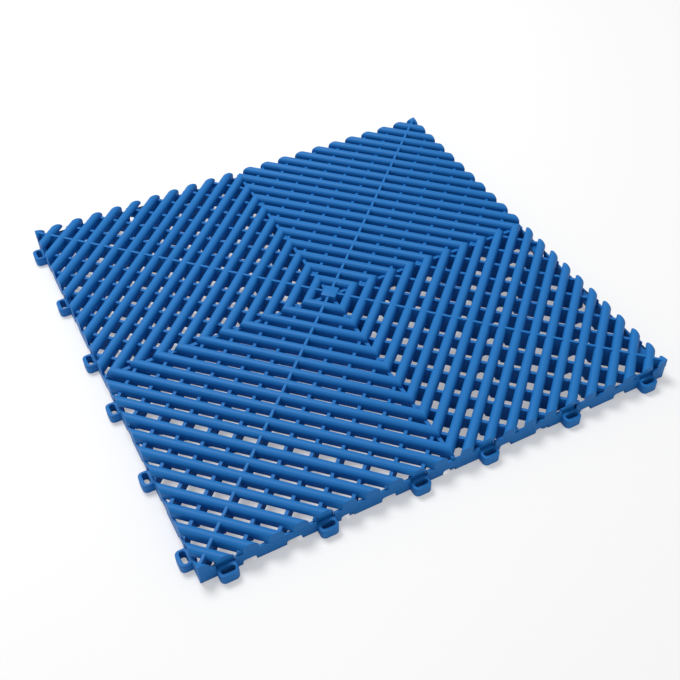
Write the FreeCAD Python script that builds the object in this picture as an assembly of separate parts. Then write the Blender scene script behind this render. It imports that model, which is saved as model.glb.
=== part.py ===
import FreeCAD, Part
import math
import os
from FreeCAD import Vector

# Ventilated ribbed floor tile, one polypropylene moulding 400 mm square.
# The ribs run at 45 degrees to the edges in nested diamonds, mitred on the two mid-lines.
# The moulding is kept as two halves that meet on the mid-line along X.
# Millimetres, +Z up, the tile's centre over the origin, its feet on Z = 0.

# Tile
side = 400.0
half = side / 2
height = 20.0

# Ribs, counted from the middle of the tile outwards
rib_pitch = side / 30
rib_width = 8.0
crown_radius = rib_width / 2
crown_sides = 5
crown_angle = math.pi / crown_sides
crown_rise = crown_radius / math.sin(crown_sides // 2 * crown_angle)
first_rib = 2.4
rib_depth = 8.0
rib_end_slope = 3.0
spring_line = height - crown_radius
rib_bottom = height - rib_depth

# Webs under and across the ribs, from the floor up
web_thickness = 2.4
web_gaps = 14
web_spacing = side / math.sqrt(2.0) / web_gaps
web_top = rib_bottom
diagonal_top = spring_line + crown_rise * math.sin(crown_angle)
mid_thickness = 3.0
mid_top = rib_bottom
boss_size = 14.0

# Rim
rim_thickness = 2.4
rim_top = rib_bottom
arch_height = 4.5
arch_starts = [12.5, 45.0]
arch_widths = [10.5, 12.0]
arch_slope = 3.0
middle_arch = [-8.5, 2.0]

# Loops that a neighbour's pegs drop into, one at the end of every fourth rib
loop_ribs = [12, 16, 20]
loop_width = 14.2
loop_reach = 8.5
loop_height = 8.4
loop_corner = 3.5
corner_sides = 2
slot_length = 10.4
slot_width = 4.4
slot_offset = 3.4
slot_end_sides = 3

# Pegs and doorways under the two edges without loops
peg_length = 9.4
peg_width = 3.4
peg_end_sides = 2
peg_bottom = 2.0
door_width = 16.0
door_depth = 10.0
door_roof = 2.0
door_height = rib_bottom - door_roof

# How far a cutter or an untrimmed bar runs past what it meets
past = 1.0
overrun = 20.0

R2 = math.sqrt(2.0)
reach = side / R2
loop_places = [(first_rib + k * rib_pitch) * R2 - half for k in loop_ribs]
all_places = [-p for p in reversed(loop_places)] + loop_places


def at(s, t, z):
    """Point at s out along the quarter's diagonal and t along its ribs."""
    return Vector((s - t) / R2, (s + t) / R2, z)


def box(x0, x1, y0, y1, z0, z1):
    return Part.makeBox(x1 - x0, y1 - y0, z1 - z0, Vector(x0, y0, z0))


def swept(points, length):
    """Section of (s, z) points swept along the ribs, centred on the diagonal."""
    corners = [at(s, -length / 2, z) for s, z in points]
    return Part.Face(Part.makePolygon(corners + corners[:1])).extrude(at(0, length, 0))


def crown(centre, sides):
    """The first so many sides of a crown, from its outer spring line over the top."""
    points = []
    for i in range(sides + 1):
        a = i * crown_angle
        points.append((centre + crown_radius * math.cos(a), spring_line + crown_rise * math.sin(a)))
    return points


def rib(k):
    """Round-topped bar across the whole quarter, trimmed to it later."""
    centre = first_rib + k * rib_pitch
    points = [(centre + crown_radius, rib_bottom)] + crown(centre, crown_sides)
    points.append((centre - crown_radius, rib_bottom))
    return swept(points, reach + overrun)


def centre_pad():
    """The flat diamond at the tile's middle, with the crown's curve round it."""
    points = [(first_rib + crown_radius, rib_bottom)] + crown(first_rib, crown_sides // 2)
    points += [(-overrun, height), (-overrun, rib_bottom)]
    return swept(points, 2 * overrun)


def centre_boss():
    """Square foot under the middle of the tile."""
    b = boss_size / 2
    return swept([(-b, 0), (b, 0), (b, rib_bottom), (-b, rib_bottom)], boss_size)


def web(offset, top):
    """Thin wall along the quarter's diagonal, offset along the ribs, standing on the floor."""
    points = [(-overrun, 0), (reach + overrun, 0), (reach + overrun, top), (-overrun, top)]
    corners = [at(s, offset - web_thickness / 2, z) for s, z in points]
    return Part.Face(Part.makePolygon(corners + corners[:1])).extrude(at(0, web_thickness, 0))


def end_slopes():
    """Prisms that slope the ribs' crowns down to the two outer edges of the quarter."""
    run = half + 2 * past
    low = rib_end_slope + past
    section = [(half - low, height + past), (half + past, height - low), (half + past, height + past)]
    along_y = [Vector(out, -past, z) for out, z in section]
    along_x = [Vector(-past, out, z) for out, z in section]
    return [Part.Face(Part.makePolygon(along_y + along_y[:1])).extrude(Vector(0, run, 0)),
            Part.Face(Part.makePolygon(along_x + along_x[:1])).extrude(Vector(run, 0, 0))]


def quarter():
    """Ribs, webs and rim of the quarter in x, y >= 0, each trimmed to it."""
    clip = box(0, half, 0, half, 0, height).cut(end_slopes())
    count = int((reach + crown_radius - first_rib) / rib_pitch) + 1
    lines = web_gaps // 2 - 1
    bars = [centre_pad(), centre_boss()] + [rib(k) for k in range(1, count)]
    bars.append(web(0, diagonal_top))
    for n in range(1, lines + 1):
        bars += [web(n * web_spacing, web_top), web(-n * web_spacing, web_top)]
    pieces = []
    for bar in bars:
        pieces += bar.common(clip).Solids
    mid = mid_thickness / 2
    pieces.append(box(0, mid, 0, half, 0, mid_top))
    pieces.append(box(0, half, 0, mid, 0, mid_top))
    pieces.append(box(half - rim_thickness, half, 0, half, 0, rim_top))
    pieces.append(box(0, half, half - rim_thickness, half, 0, rim_top))
    return pieces


def obround(x, y, length, width, end_sides, z0, z1):
    """Upright post, long along Y, its half-round ends made with few sides."""
    r = width / 2
    h = length / 2 - r
    corners = []
    for centre, start in ((y + h, 0), (y - h, 180)):
        for i in range(end_sides + 1):
            a = math.radians(start + 180.0 * i / end_sides)
            corners.append(Vector(x + r * math.cos(a), centre + r * math.sin(a), z0))
    return Part.Face(Part.makePolygon(corners + corners[:1])).extrude(Vector(0, 0, z1 - z0))


def loop_tab(place):
    """Tab on the edge at +X, with rounded outer corners."""
    w = loop_width / 2
    x = half + loop_reach
    corners = [Vector(half - rim_thickness, place + w, 0), Vector(half - rim_thickness, place - w, 0)]
    for side_of, start in ((-1, -90), (1, 0)):
        for i in range(corner_sides + 1):
            a = math.radians(start + 90.0 * i / corner_sides)
            corners.append(Vector(x - loop_corner + loop_corner * math.cos(a),
                                  place + side_of * (w - loop_corner) + loop_corner * math.sin(a), 0))
    return Part.Face(Part.makePolygon(corners + corners[:1])).extrude(Vector(0, 0, loop_height))


def edge_solids(kind, places):
    """For the edge at +X: solids to cut first, to add, and to cut last."""
    first, adds, last = [], [], []
    for place in places:
        if kind == "loops":
            w = loop_width / 2
            x = half + slot_offset
            first.append(box(half - rim_thickness, half + past, place - w, place + w, loop_height, rim_top))
            adds.append(loop_tab(place))
            last.append(obround(x, place, slot_length, slot_width, slot_end_sides, -past, loop_height + past))
        else:
            w = door_width / 2
            x = half - door_depth
            first.append(box(x, half + past, place - w, place + w, -past, door_height))
            adds.append(box(x, half, place - w, place + w, door_height, door_height + door_roof))
            x = half - slot_offset
            adds.append(obround(x, place, peg_length, peg_width, peg_end_sides, peg_bottom, door_height))
    return first, adds, last


def arches(places):
    """Drain arches in the foot of a looped rim at +X, two after each loop and one in the middle."""
    cuts = []
    x0 = half - rim_thickness - past
    x1 = half + past
    for place in places:
        for start, width in zip(arch_starts, arch_widths):
            y0 = place + start
            y1 = y0 + width
            if place == -loop_places[0] or y1 > half - rim_thickness:
                continue
            points = [(y0, -past), (y0, 0), (y0 + arch_slope, arch_height), (y1, arch_height), (y1, -past)]
            corners = [Vector(x0, y, z) for y, z in points]
            cuts.append(Part.Face(Part.makePolygon(corners + corners[:1])).extrude(Vector(x1 - x0, 0, 0)))
    cuts.append(box(x0, x1, middle_arch[0], middle_arch[1], -past, arch_height))
    return cuts


def turned(shapes, mirror, degrees):
    """Copies of solids made for the edge at +X, mirrored in Y first if asked, then turned about Z."""
    out = []
    for shape in shapes:
        s = shape.mirror(Vector(0, 0, 0), Vector(0, 1, 0)) if mirror else shape.copy()
        s.rotate(Vector(0, 0, 0), Vector(0, 0, 1), degrees)
        out.append(s)
    return out


def build_half(sign, x_edge):
    """The half on the side y * sign > 0; x_edge names what its edge along X carries."""
    plain = quarter()
    pieces = []
    for turn in ((0, 90) if sign > 0 else (180, 270)):
        pieces += turned(plain, False, turn)
    # Every edge is made as the +X edge: positions then run the way the mirrored ones do on the tile.
    edges = [(0, False, "pegs", [p for p in all_places if p * sign > 0]),
             (180, True, "loops", [p for p in all_places if p * sign > 0]),
             (90 if sign > 0 else 270, sign > 0, x_edge, all_places)]
    first, adds, last = [], [], []
    for degrees, mirror, kind, places in edges:
        a, b, c = edge_solids(kind, places)
        first += turned(a, mirror, degrees)
        adds += turned(b, mirror, degrees)
        last += turned(c, mirror, degrees)
        if kind == "loops":
            first += turned(arches(all_places), mirror, degrees)
    wide = half + overrun
    keep = box(-wide, wide, min(0, sign * wide), max(0, sign * wide), -overrun, height + overrun)
    shape = pieces[0].fuse(pieces[1:]).cut(first)
    shape = shape.fuse(adds).cut(last).common(keep)
    return shape.removeSplitter()


os.makedirs("parts", exist_ok=True)
for name, sign, x_edge in (("half_back", 1, "pegs"), ("half_front", -1, "loops")):
    solid = build_half(sign, x_edge)
    if len(solid.Solids) == 1:
        solid = solid.Solids[0]
    print(name, len(solid.Solids), "solid", len(solid.Faces), "faces", round(solid.Volume / 1000, 1), "cm3")
    solid.exportStep("parts/%s.step" % name)
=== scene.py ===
import bpy
import math
from mathutils import Matrix, Vector


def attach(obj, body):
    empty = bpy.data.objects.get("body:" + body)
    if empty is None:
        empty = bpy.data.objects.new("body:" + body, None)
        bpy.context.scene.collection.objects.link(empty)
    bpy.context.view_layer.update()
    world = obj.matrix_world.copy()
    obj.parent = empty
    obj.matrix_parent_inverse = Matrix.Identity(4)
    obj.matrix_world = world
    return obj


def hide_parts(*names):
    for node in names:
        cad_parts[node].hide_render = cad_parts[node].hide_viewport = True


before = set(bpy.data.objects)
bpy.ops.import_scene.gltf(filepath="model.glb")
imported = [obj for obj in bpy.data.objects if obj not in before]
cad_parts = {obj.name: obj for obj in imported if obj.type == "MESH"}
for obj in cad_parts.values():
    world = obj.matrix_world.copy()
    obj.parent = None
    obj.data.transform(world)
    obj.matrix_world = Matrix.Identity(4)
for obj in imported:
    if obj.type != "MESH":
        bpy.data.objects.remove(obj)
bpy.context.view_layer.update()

# Tile, in metres
half_side = 0.200
height = 0.020
root_two = math.sqrt(2.0)

# Ribs, counted from the middle of the tile outwards
rib_pitch = 2 * half_side / 30
rib_radius = 0.004
rib_sides = 32
rib_length = 0.30
first_rib = 0.0024
spring_line = height - rib_radius
rib_bottom = 0.0118
light_bottom = 0.0154
ring_ribs = range(1, 11)
edge_ribs = range(11, 21)
loop_ribs = (12, 16, 20)
end_radius = 0.0011
corner_stretch = 1.5

# Webs and walls
web_thickness = 0.0026
web_gaps = 14
web_spacing = 2 * half_side / root_two / web_gaps
web_top = 0.0156
web_start = -0.02
web_end = 0.30
blade_thickness = 0.0021
blade_top = 0.0193
blade_start = 0.003
blade_end = 0.2796
mid_thickness = 0.0030
mid_top = 0.0153

# Drain channels through the feet of the webs
channel_count = 7
channel_first = 0.042
channel_pitch = 0.0345
channel_width = 0.016
channel_height = 0.0045
channel_slope = 0.0035

# Rim, with an arch in its middle, by its start and end, and two after each loop, by start and width
rim_thickness = 0.0024
rim_top = 0.012
rim_edge = 0.0004
arch_height = 0.0045
arch_radius = 0.0022
middle_arch = (-0.0085, 0.002)
arch_spans = ((0.012, 0.0105), (0.045, 0.012))

# Loops, their places along an edge set by the ribs that end there
right_loops = [(first_rib + k * rib_pitch) * root_two - half_side for k in loop_ribs]
loop_places = [-place for place in reversed(right_loops)] + right_loops
loop_width = 0.0142
loop_reach = 0.0085
loop_height = 0.0084
loop_corner = 0.0038
slot_length = 0.0104
slot_width = 0.0044
slot_offset = 0.0034
window_top = 0.0180
back_thickness = 0.0015

# Pegs and the doorways over them
peg_length = 0.0094
peg_width = 0.0034
peg_bottom = 0.002
peg_top = 0.011
peg_edge = 0.0006
door_width = 0.016
door_depth = 0.010
door_height = 0.010
roof_setback = 0.0005

# Moulding radius, how far cutters run on, and the hair that keeps two faces out of one plane
moulding_radius = 0.0005
past = 0.002
below = -0.01
hair = 0.0001

# Studio
floor_size = 12
floor_level = -0.0002
floor_white = (0.97, 0.97, 0.97, 1)
camera_white = 0.35
world_strength = 0.46

# Camera at the photograph's angle, in degrees, metres and pixels
view_azimuth = -28.908
view_elevation = 45.070
view_roll = 0.426
view_distance = 0.8230
view_target = Vector((0.01040, -0.05224, 0.002))
frame_pixels = 680
focal_pixels = 982.9
sideways_pixels = -30
sensor_width = 36


# Tools used on every piece

def only(piece):
    """Leaves just this piece selected and active."""
    bpy.ops.object.select_all(action="DESELECT")
    piece.select_set(True)
    bpy.context.view_layer.objects.active = piece


def settle(piece):
    """Puts the piece's place into its mesh."""
    only(piece)
    bpy.ops.object.transform_apply(location=True, rotation=True, scale=True)


def block(name, low, high):
    """Cube between two corners."""
    centre = [(a + b) / 2 for a, b in zip(low, high)]
    size = [b - a for a, b in zip(low, high)]
    bpy.ops.mesh.primitive_cube_add(size=1, location=centre)
    piece = bpy.context.object
    piece.name = name
    piece.scale = size
    settle(piece)
    return piece


def slice_off(piece, point, normal, fill):
    """Cuts away what lies beyond a plane."""
    only(piece)
    bpy.ops.object.mode_set(mode="EDIT")
    bpy.ops.mesh.select_mode(type="VERT")
    bpy.ops.mesh.select_all(action="SELECT")
    bpy.ops.mesh.bisect(plane_co=point, plane_no=normal, use_fill=fill, clear_outer=True, threshold=2e-6)
    bpy.ops.object.mode_set(mode="OBJECT")


def copied(piece, shift=(0, 0, 0), degrees=0.0, mirror=False):
    """A copy with its own mesh, mirrored in Y if asked, turned about Z and then moved."""
    only(piece)
    bpy.ops.object.duplicate()
    twin = bpy.context.object
    if mirror:
        twin.scale = (1, -1, 1)
        settle(twin)
        turn_outward(twin)
    twin.rotation_euler = (0, 0, math.radians(degrees))
    twin.location = shift
    settle(twin)
    return twin


def turned(piece, degrees):
    """The piece itself, turned about Z."""
    piece.rotation_euler = (0, 0, math.radians(degrees))
    settle(piece)
    return piece


def removed(pieces):
    """Deletes pieces that were only patterns for others."""
    for piece in pieces:
        only(piece)
        bpy.ops.object.delete()


def joined(pieces, name):
    """One piece made of several."""
    bpy.ops.object.select_all(action="DESELECT")
    for piece in pieces:
        piece.select_set(True)
    bpy.context.view_layer.objects.active = pieces[0]
    if len(pieces) > 1:
        bpy.ops.object.join()
    whole = bpy.context.object
    whole.name = name
    whole.data.name = name
    return whole


def weld(piece):
    """Joins the vertices that meet and turns the faces outward."""
    only(piece)
    bpy.ops.object.mode_set(mode="EDIT")
    bpy.ops.mesh.select_all(action="SELECT")
    bpy.ops.mesh.remove_doubles(threshold=2e-5)
    bpy.ops.object.mode_set(mode="OBJECT")
    turn_outward(piece)


def turn_outward(piece):
    """Points every face away from the inside."""
    only(piece)
    bpy.ops.object.mode_set(mode="EDIT")
    bpy.ops.mesh.select_all(action="SELECT")
    bpy.ops.mesh.normals_make_consistent(inside=False)
    bpy.ops.object.mode_set(mode="OBJECT")


def pick_faces(piece, wanted):
    """Selects the faces for which wanted(face) is true and goes into edit mode."""
    only(piece)
    bpy.ops.object.mode_set(mode="EDIT")
    bpy.ops.mesh.select_mode(type="FACE")
    bpy.ops.mesh.select_all(action="DESELECT")
    bpy.ops.object.mode_set(mode="OBJECT")
    for face in piece.data.polygons:
        face.select = wanted(face)
    bpy.ops.object.mode_set(mode="EDIT")


def pick_edges(piece, wanted):
    """Selects the edges for which wanted(a, b) is true and goes into edit mode."""
    only(piece)
    bpy.ops.object.mode_set(mode="EDIT")
    bpy.ops.mesh.select_mode(type="EDGE")
    bpy.ops.mesh.select_all(action="DESELECT")
    bpy.ops.object.mode_set(mode="OBJECT")
    corners = piece.data.vertices
    for edge in piece.data.edges:
        a, b = (corners[i].co for i in edge.vertices)
        edge.select = wanted(a, b)
    bpy.ops.object.mode_set(mode="EDIT")


def bevel_edges(piece, wanted, offset, segments):
    """Bevels just the edges for which wanted(a, b) is true."""
    pick_edges(piece, wanted)
    bpy.ops.mesh.bevel(offset=offset, segments=segments, affect="EDGES", clamp_overlap=True)
    bpy.ops.object.mode_set(mode="OBJECT")


def top_edges(axis):
    """Test for a cutter's edges above the floor along which one coordinate stays the same."""
    return lambda a, b: a.z > 0 and b.z > 0 and abs(a[axis] - b[axis]) < 1e-6


def soften(piece, width):
    """Small moulding radius on the sharp edges."""
    only(piece)
    rounding = piece.modifiers.new("moulding_radius", "BEVEL")
    rounding.width = width
    rounding.segments = 2
    rounding.limit_method = "ANGLE"
    rounding.angle_limit = math.radians(50)
    rounding.use_clamp_overlap = True
    bpy.ops.object.modifier_apply(modifier=rounding.name)


def cut_out(piece, cutter):
    """Takes the cutter's shape out of the piece and removes the cutter."""
    only(piece)
    cut = piece.modifiers.new("cut", "BOOLEAN")
    cut.operation = "DIFFERENCE"
    cut.solver = "EXACT"
    cut.object = cutter
    bpy.ops.object.modifier_apply(modifier=cut.name)
    removed([cutter])


def four_turns(piece, name):
    """The piece of one quarter repeated round the tile and welded where the quarters meet."""
    quarters = [piece] + [copied(piece, degrees=90 * n) for n in (1, 2, 3)]
    whole = joined(quarters, name)
    weld(whole)
    return whole


# Ribs: round-topped bars, the inner ones in closed rings that are mitred on the mid-lines

def rib_bar(bottom):
    """Bar along Y, its crown a half cylinder on upright sides that reach down to bottom."""
    bpy.ops.mesh.primitive_cylinder_add(vertices=rib_sides, radius=rib_radius, depth=rib_length,
                                        end_fill_type="NGON", rotation=(math.pi / 2, 0, 0))
    bar = bpy.context.object
    bar.location = (0, 0, spring_line)
    settle(bar)
    slice_off(bar, (0, 0, spring_line), (0, 0, -1), True)
    pick_faces(bar, lambda face: face.normal.z < -0.9)
    bpy.ops.mesh.extrude_region_move(TRANSFORM_OT_translate={"value": (0, 0, bottom - spring_line)})
    bpy.ops.object.mode_set(mode="OBJECT")
    turn_outward(bar)
    return bar


def placed_bar(pattern, centre):
    """Copy of a bar across the far quarter, centred so far out along its diagonal."""
    return copied(pattern, shift=(centre / root_two, centre / root_two, 0), degrees=45)


def trimmed(ribs):
    """The far quarter's ribs, cut off flush with the tile's two far edges."""
    slice_off(ribs, (half_side, 0, 0), (1, 0, 0), True)
    slice_off(ribs, (0, half_side, 0), (0, 1, 0), True)
    turn_outward(ribs)
    return ribs


def outer_ribs(light):
    """The ribs of the far quarter that end on its two edges; those in light are shallow."""
    bars = []
    for k in edge_ribs:
        bars.append(placed_bar(light_bar if k in light else full_bar, first_rib + k * rib_pitch))
    return trimmed(joined(bars, "outer_ribs"))


def round_ends(ribs, on_x, on_y):
    """Rounds the crowns where they meet the right and back edges."""
    limit = half_side - hair / 10
    low = spring_line - hair

    def at_edge(a, b):
        right_edge = on_x and min(a.x, b.x) > limit
        back_edge = on_y and min(a.y, b.y) > limit
        return min(a.z, b.z) > low and (right_edge or back_edge)

    bevel_edges(ribs, at_edge, end_radius, 4)


full_bar = rib_bar(rib_bottom)
light_bar = rib_bar(light_bottom)
rings = joined([placed_bar(full_bar, first_rib + k * rib_pitch) for k in ring_ribs], "ring_ribs")
slice_off(rings, (0, 0, 0), (-1, 0, 0), False)
slice_off(rings, (0, 0, 0), (0, -1, 0), False)
rings = four_turns(rings, "ring_ribs")

far_ribs = outer_ribs(())
pattern_ribs = outer_ribs(loop_ribs)
left_ribs, near_ribs, right_ribs = [copied(pattern_ribs, degrees=90 * n) for n in (1, 2, 3)]
round_ends(far_ribs, True, True)
round_ends(left_ribs, False, True)
round_ends(right_ribs, True, False)

# One wider bar closes each corner of the tile
full_bar.scale = (corner_stretch, 1, 1)
settle(full_bar)
corner = trimmed(placed_bar(full_bar, half_side * root_two))
corners = [corner] + [copied(corner, degrees=90 * n) for n in (1, 2, 3)]
removed([pattern_ribs, full_bar, light_bar])
solid_ribs = joined([far_ribs] + corners, "outer_ribs")
looped_ribs = joined([left_ribs, near_ribs, right_ribs], "looped_ribs")


# Webs: thin walls across the ribs, with drain channels through their feet

def web_wall(offset, thickness, start, end, top):
    """Wall along X with its row of channel mouths."""
    wall = block("web", (start, offset - thickness / 2, 0), (end, offset + thickness / 2, top))
    mouths = []
    for n in range(channel_count):
        middle = channel_first + n * channel_pitch
        mouth = block("mouth", (middle - channel_width / 2, offset - thickness, below),
                      (middle + channel_width / 2, offset + thickness, channel_height))
        bevel_edges(mouth, top_edges(0), channel_slope, 1)
        mouths.append(mouth)
    cut_out(wall, joined(mouths, "mouths"))
    return wall


walls = []
for n in range(1, web_gaps // 2):
    for offset in (n * web_spacing, -n * web_spacing):
        walls.append(turned(web_wall(offset, web_thickness, web_start, web_end, web_top), 45))
webs = joined(walls, "support_webs")
inner = half_side - rim_thickness / 2
slice_off(webs, (inner, 0, 0), (1, 0, 0), True)
slice_off(webs, (0, inner, 0), (0, 1, 0), True)
slice_off(webs, (0, 0, 0), (-1, 0, 0), False)
slice_off(webs, (0, 0, 0), (0, -1, 0), False)
webs = four_turns(webs, "support_webs")


# A taller blade on each diagonal

blades = []
for degrees in (45, 135, 225, 315):
    blades.append(turned(web_wall(0, blade_thickness, blade_start, blade_end, blade_top), degrees))
blades = joined(blades, "diagonal_blades")


# Walls on the two mid-lines and the pad in the middle

mid_x = block("mid_wall", (-inner, -mid_thickness / 2, 0), (inner, mid_thickness / 2, mid_top))
mid_y = block("mid_wall", (-mid_thickness / 2, -inner, 0), (mid_thickness / 2, inner, mid_top))
mid_walls = joined([mid_x, mid_y], "middle_walls")

pad_half = first_rib + rib_radius
pad = turned(block("centre_pad", (-pad_half, -pad_half, 0), (pad_half, pad_half, height)), 45)
soften(pad, moulding_radius)


# What repeats along the edges is made at the +X edge and copied to its places

def row_of_blocks(name, x0, x1, z0, z1, width):
    """One block at every loop place of the edge at +X."""
    row = []
    for place in loop_places:
        row.append(block(name, (x0, place - width / 2, z0), (x1, place + width / 2, z1)))
    return row


def window_cutters(depth, top):
    """Cutters for the windows above the loops."""
    sill = loop_height - 2 * hair
    return row_of_blocks("window", half_side - depth, half_side + past, sill, top, loop_width)


def doorway_cutters():
    """Cutters for the doorways round the pegs."""
    return row_of_blocks("doorway", half_side - door_depth, half_side + past, below, door_height, door_width)


def on_looped_edges(pieces):
    """Copies on the left and front edges; the pieces made at +X are removed."""
    placed = []
    for piece in pieces:
        placed += [copied(piece, degrees=180, mirror=True), copied(piece, degrees=270)]
    removed(pieces)
    return placed


def on_pegged_edges(pieces):
    """Copies on the right and back edges; the pieces made at +X are removed."""
    placed = []
    for piece in pieces:
        placed += [copied(piece), copied(piece, degrees=90)]
    removed(pieces)
    return placed


# Rim: a low wall along each edge, with drain arches in its foot on the looped edges

def arch_cutter(start, end):
    """Arch through the rim at +X, its upper corners rounded."""
    cutter = block("arch", (half_side - 2 * rim_thickness, start, below),
                   (half_side + past, end, arch_height))
    bevel_edges(cutter, top_edges(1), arch_radius, 4)
    return cutter


def rim_wall():
    """Wall a hair inside the rib ends, its top edges softened."""
    face = half_side - hair / 2
    end = face - hair
    wall = block("rim", (half_side - rim_thickness, -end, 0), (face, end, rim_top))
    soften(wall, rim_edge)
    return wall


arches = [arch_cutter(*middle_arch)]
for place in loop_places:
    for start, width in arch_spans:
        end = place + start + width
        if place != -right_loops[0] and end < half_side - rim_thickness:
            arches.append(arch_cutter(place + start, end))
looped_rim = rim_wall()
cut_out(looped_rim, joined(arches + window_cutters(2 * rim_thickness, rim_top + past), "openings"))
pegged_rim = rim_wall()
cut_out(pegged_rim, joined(doorway_cutters(), "openings"))
rim = joined(on_looped_edges([looped_rim]) + on_pegged_edges([pegged_rim]), "edge_rim")


# Loops on the left and front edges, pegs under the right and back ones

def obround(name, x, y, length, width, low, high):
    """Upright post with round ends, long along Y."""
    bpy.ops.mesh.primitive_cylinder_add(vertices=24, radius=width / 2, depth=high - low,
                                        location=(x, y, (low + high) / 2))
    post = bpy.context.object
    post.name = name
    settle(post)
    stretch = length - width
    pick_edges(post, lambda a, b: min(a.y, b.y) > y - 1e-7)
    bpy.ops.mesh.select_mode(type="VERT")
    bpy.ops.transform.translate(value=(0, stretch, 0))
    bpy.ops.object.mode_set(mode="OBJECT")
    post.location = (0, -stretch / 2, 0)
    settle(post)
    return post


def loop(place):
    """Loop on the edge at +X, with a slot for the next tile's peg."""
    tab = block("loop", (half_side - rim_thickness, place - loop_width / 2, 0),
                (half_side + loop_reach, place + loop_width / 2, loop_height))
    bevel_edges(tab, lambda a, b: abs(a.z - b.z) > loop_height / 2 and a.x > half_side, loop_corner, 6)
    cut_out(tab, obround("slot", half_side + slot_offset, place, slot_length, slot_width, below, height))
    soften(tab, moulding_radius)
    return tab


def peg(place):
    """Peg under the roof of its doorway at +X."""
    post = obround("peg", half_side - slot_offset, place, peg_length, peg_width, peg_bottom, peg_top)
    soften(post, peg_edge)
    return post


loops = joined(on_looped_edges([loop(place) for place in loop_places]), "joining_loops")
pegs = joined(on_pegged_edges([peg(place) for place in loop_places]), "joining_pegs")


# Roofs over the doorways, walls behind the windows, and both openings through the webs

roof_face = half_side - roof_setback
back_face = half_side - rim_thickness + hair
roofs = row_of_blocks("roof", half_side - door_depth, roof_face, door_height, rim_top, door_width)
backs = row_of_blocks("back", back_face - back_thickness, back_face, 0, rim_top, loop_width - 4 * hair)
seats = joined(on_pegged_edges(roofs) + on_looped_edges(backs), "seats")
windows = on_looped_edges(window_cutters(rim_thickness, window_top))
doorways = on_pegged_edges(doorway_cutters())
cut_out(webs, joined(windows + doorways, "openings"))


# Blue moulded plastic, a little uneven in tint, with a fine grain

def blue_plastic():
    finish = bpy.data.materials.new("blue_plastic")
    finish.use_nodes = True
    nodes, links = finish.node_tree.nodes, finish.node_tree.links
    shader = nodes["Principled BSDF"]
    shader.inputs["Roughness"].default_value = 0.50
    shader.inputs["IOR"].default_value = 1.49
    shader.inputs["Specular IOR Level"].default_value = 0.20
    place = nodes.new("ShaderNodeTexCoord")
    cloud = nodes.new("ShaderNodeTexNoise")
    cloud.inputs["Scale"].default_value = 9.0
    cloud.inputs["Detail"].default_value = 3.0
    links.new(place.outputs["Object"], cloud.inputs["Vector"])
    tint = nodes.new("ShaderNodeMix")
    tint.data_type = "RGBA"
    tint.inputs[6].default_value = (0.010, 0.160, 0.475, 1)
    tint.inputs[7].default_value = (0.014, 0.180, 0.530, 1)
    links.new(cloud.outputs["Fac"], tint.inputs[0])
    links.new(tint.outputs[2], shader.inputs["Base Color"])
    grain = nodes.new("ShaderNodeTexNoise")
    grain.inputs["Scale"].default_value = 1400.0
    grain.inputs["Detail"].default_value = 2.0
    links.new(place.outputs["Object"], grain.inputs["Vector"])
    bump = nodes.new("ShaderNodeBump")
    bump.inputs["Strength"].default_value = 0.08
    bump.inputs["Distance"].default_value = 0.0002
    links.new(grain.outputs["Fac"], bump.inputs["Height"])
    links.new(bump.outputs["Normal"], shader.inputs["Normal"])
    return finish


plastic = blue_plastic()
tile_pieces = [rings, solid_ribs, looped_ribs, webs, blades, mid_walls, pad, rim, loops, pegs, seats]
for piece in tile_pieces:
    only(piece)
    bpy.ops.object.shade_smooth_by_angle(angle=math.radians(30))
    piece.data.materials.clear()
    piece.data.materials.append(plastic)
    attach(piece, "root")
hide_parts("half_back", "half_front")


# Floor: it shows whiter to the camera and lights the tile no more for it

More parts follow.
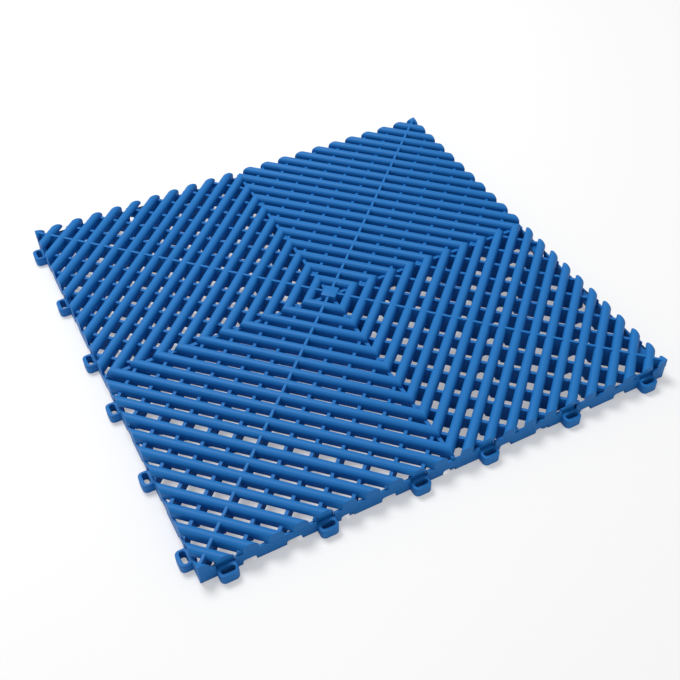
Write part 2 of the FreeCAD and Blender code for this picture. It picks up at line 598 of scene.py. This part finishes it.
def floor_paint():
    finish = bpy.data.materials.new("studio_floor")
    finish.use_nodes = True
    nodes, links = finish.node_tree.nodes, finish.node_tree.links
    shader = nodes["Principled BSDF"]
    shader.inputs["Base Color"].default_value = floor_white
    shader.inputs["Roughness"].default_value = 0.7
    seen = nodes.new("ShaderNodeLightPath")
    share = nodes.new("ShaderNodeMath")
    share.operation = "MULTIPLY"
    share.inputs[1].default_value = camera_white
    glow = nodes.new("ShaderNodeEmission")
    mixed = nodes.new("ShaderNodeMixShader")
    links.new(seen.outputs["Is Camera Ray"], share.inputs[0])
    links.new(share.outputs[0], mixed.inputs[0])
    links.new(shader.outputs["BSDF"], mixed.inputs[1])
    links.new(glow.outputs["Emission"], mixed.inputs[2])
    links.new(mixed.outputs["Shader"], nodes["Material Output"].inputs["Surface"])
    return finish


bpy.ops.object.select_all(action="DESELECT")
bpy.ops.mesh.primitive_plane_add(size=floor_size, location=(0, 0, floor_level))
floor = bpy.context.object
floor.name = "studio_floor"
settle(floor)
floor.data.materials.append(floor_paint())


# World and lamp

world = bpy.data.worlds.new("studio")
bpy.context.scene.world = world
world.use_nodes = True
world.node_tree.nodes["Background"].inputs["Color"].default_value = (1, 1, 1, 1)
world.node_tree.nodes["Background"].inputs["Strength"].default_value = world_strength


def lamp(name, place, aim, size, power):
    """Round area lamp turned towards a point."""
    bpy.ops.object.light_add(type="AREA", location=place)
    light = bpy.context.object
    light.name = name
    light.data.shape = "DISK"
    light.data.size = size
    light.data.energy = power
    light.rotation_euler = (Vector(aim) - Vector(place)).to_track_quat("-Z", "Y").to_euler()


lamp("overhead", place=(-0.3, 0.9, 1.9), aim=(0, 0, 0), size=1.0, power=31)


# Camera

azimuth, elevation, roll = (math.radians(a) for a in (view_azimuth, view_elevation, view_roll))
outward = math.cos(elevation)
back = Vector((math.sin(azimuth) * outward, -math.cos(azimuth) * outward, math.sin(elevation)))
level = Vector((math.cos(azimuth), math.sin(azimuth), 0))
upright = back.cross(level)
right = level * math.cos(roll) + upright * math.sin(roll)
up = upright * math.cos(roll) - level * math.sin(roll)
turn = Matrix((right, up, back)).transposed()
bpy.ops.object.camera_add(location=view_target + back * view_distance, rotation=turn.to_euler())
camera = bpy.context.object
camera.data.sensor_width = sensor_width
camera.data.lens = focal_pixels / frame_pixels * sensor_width
camera.data.shift_x = sideways_pixels / frame_pixels
camera.data.clip_start = 0.01
bpy.context.scene.camera = camera
bpy.context.scene.view_settings.view_transform = "Standard"
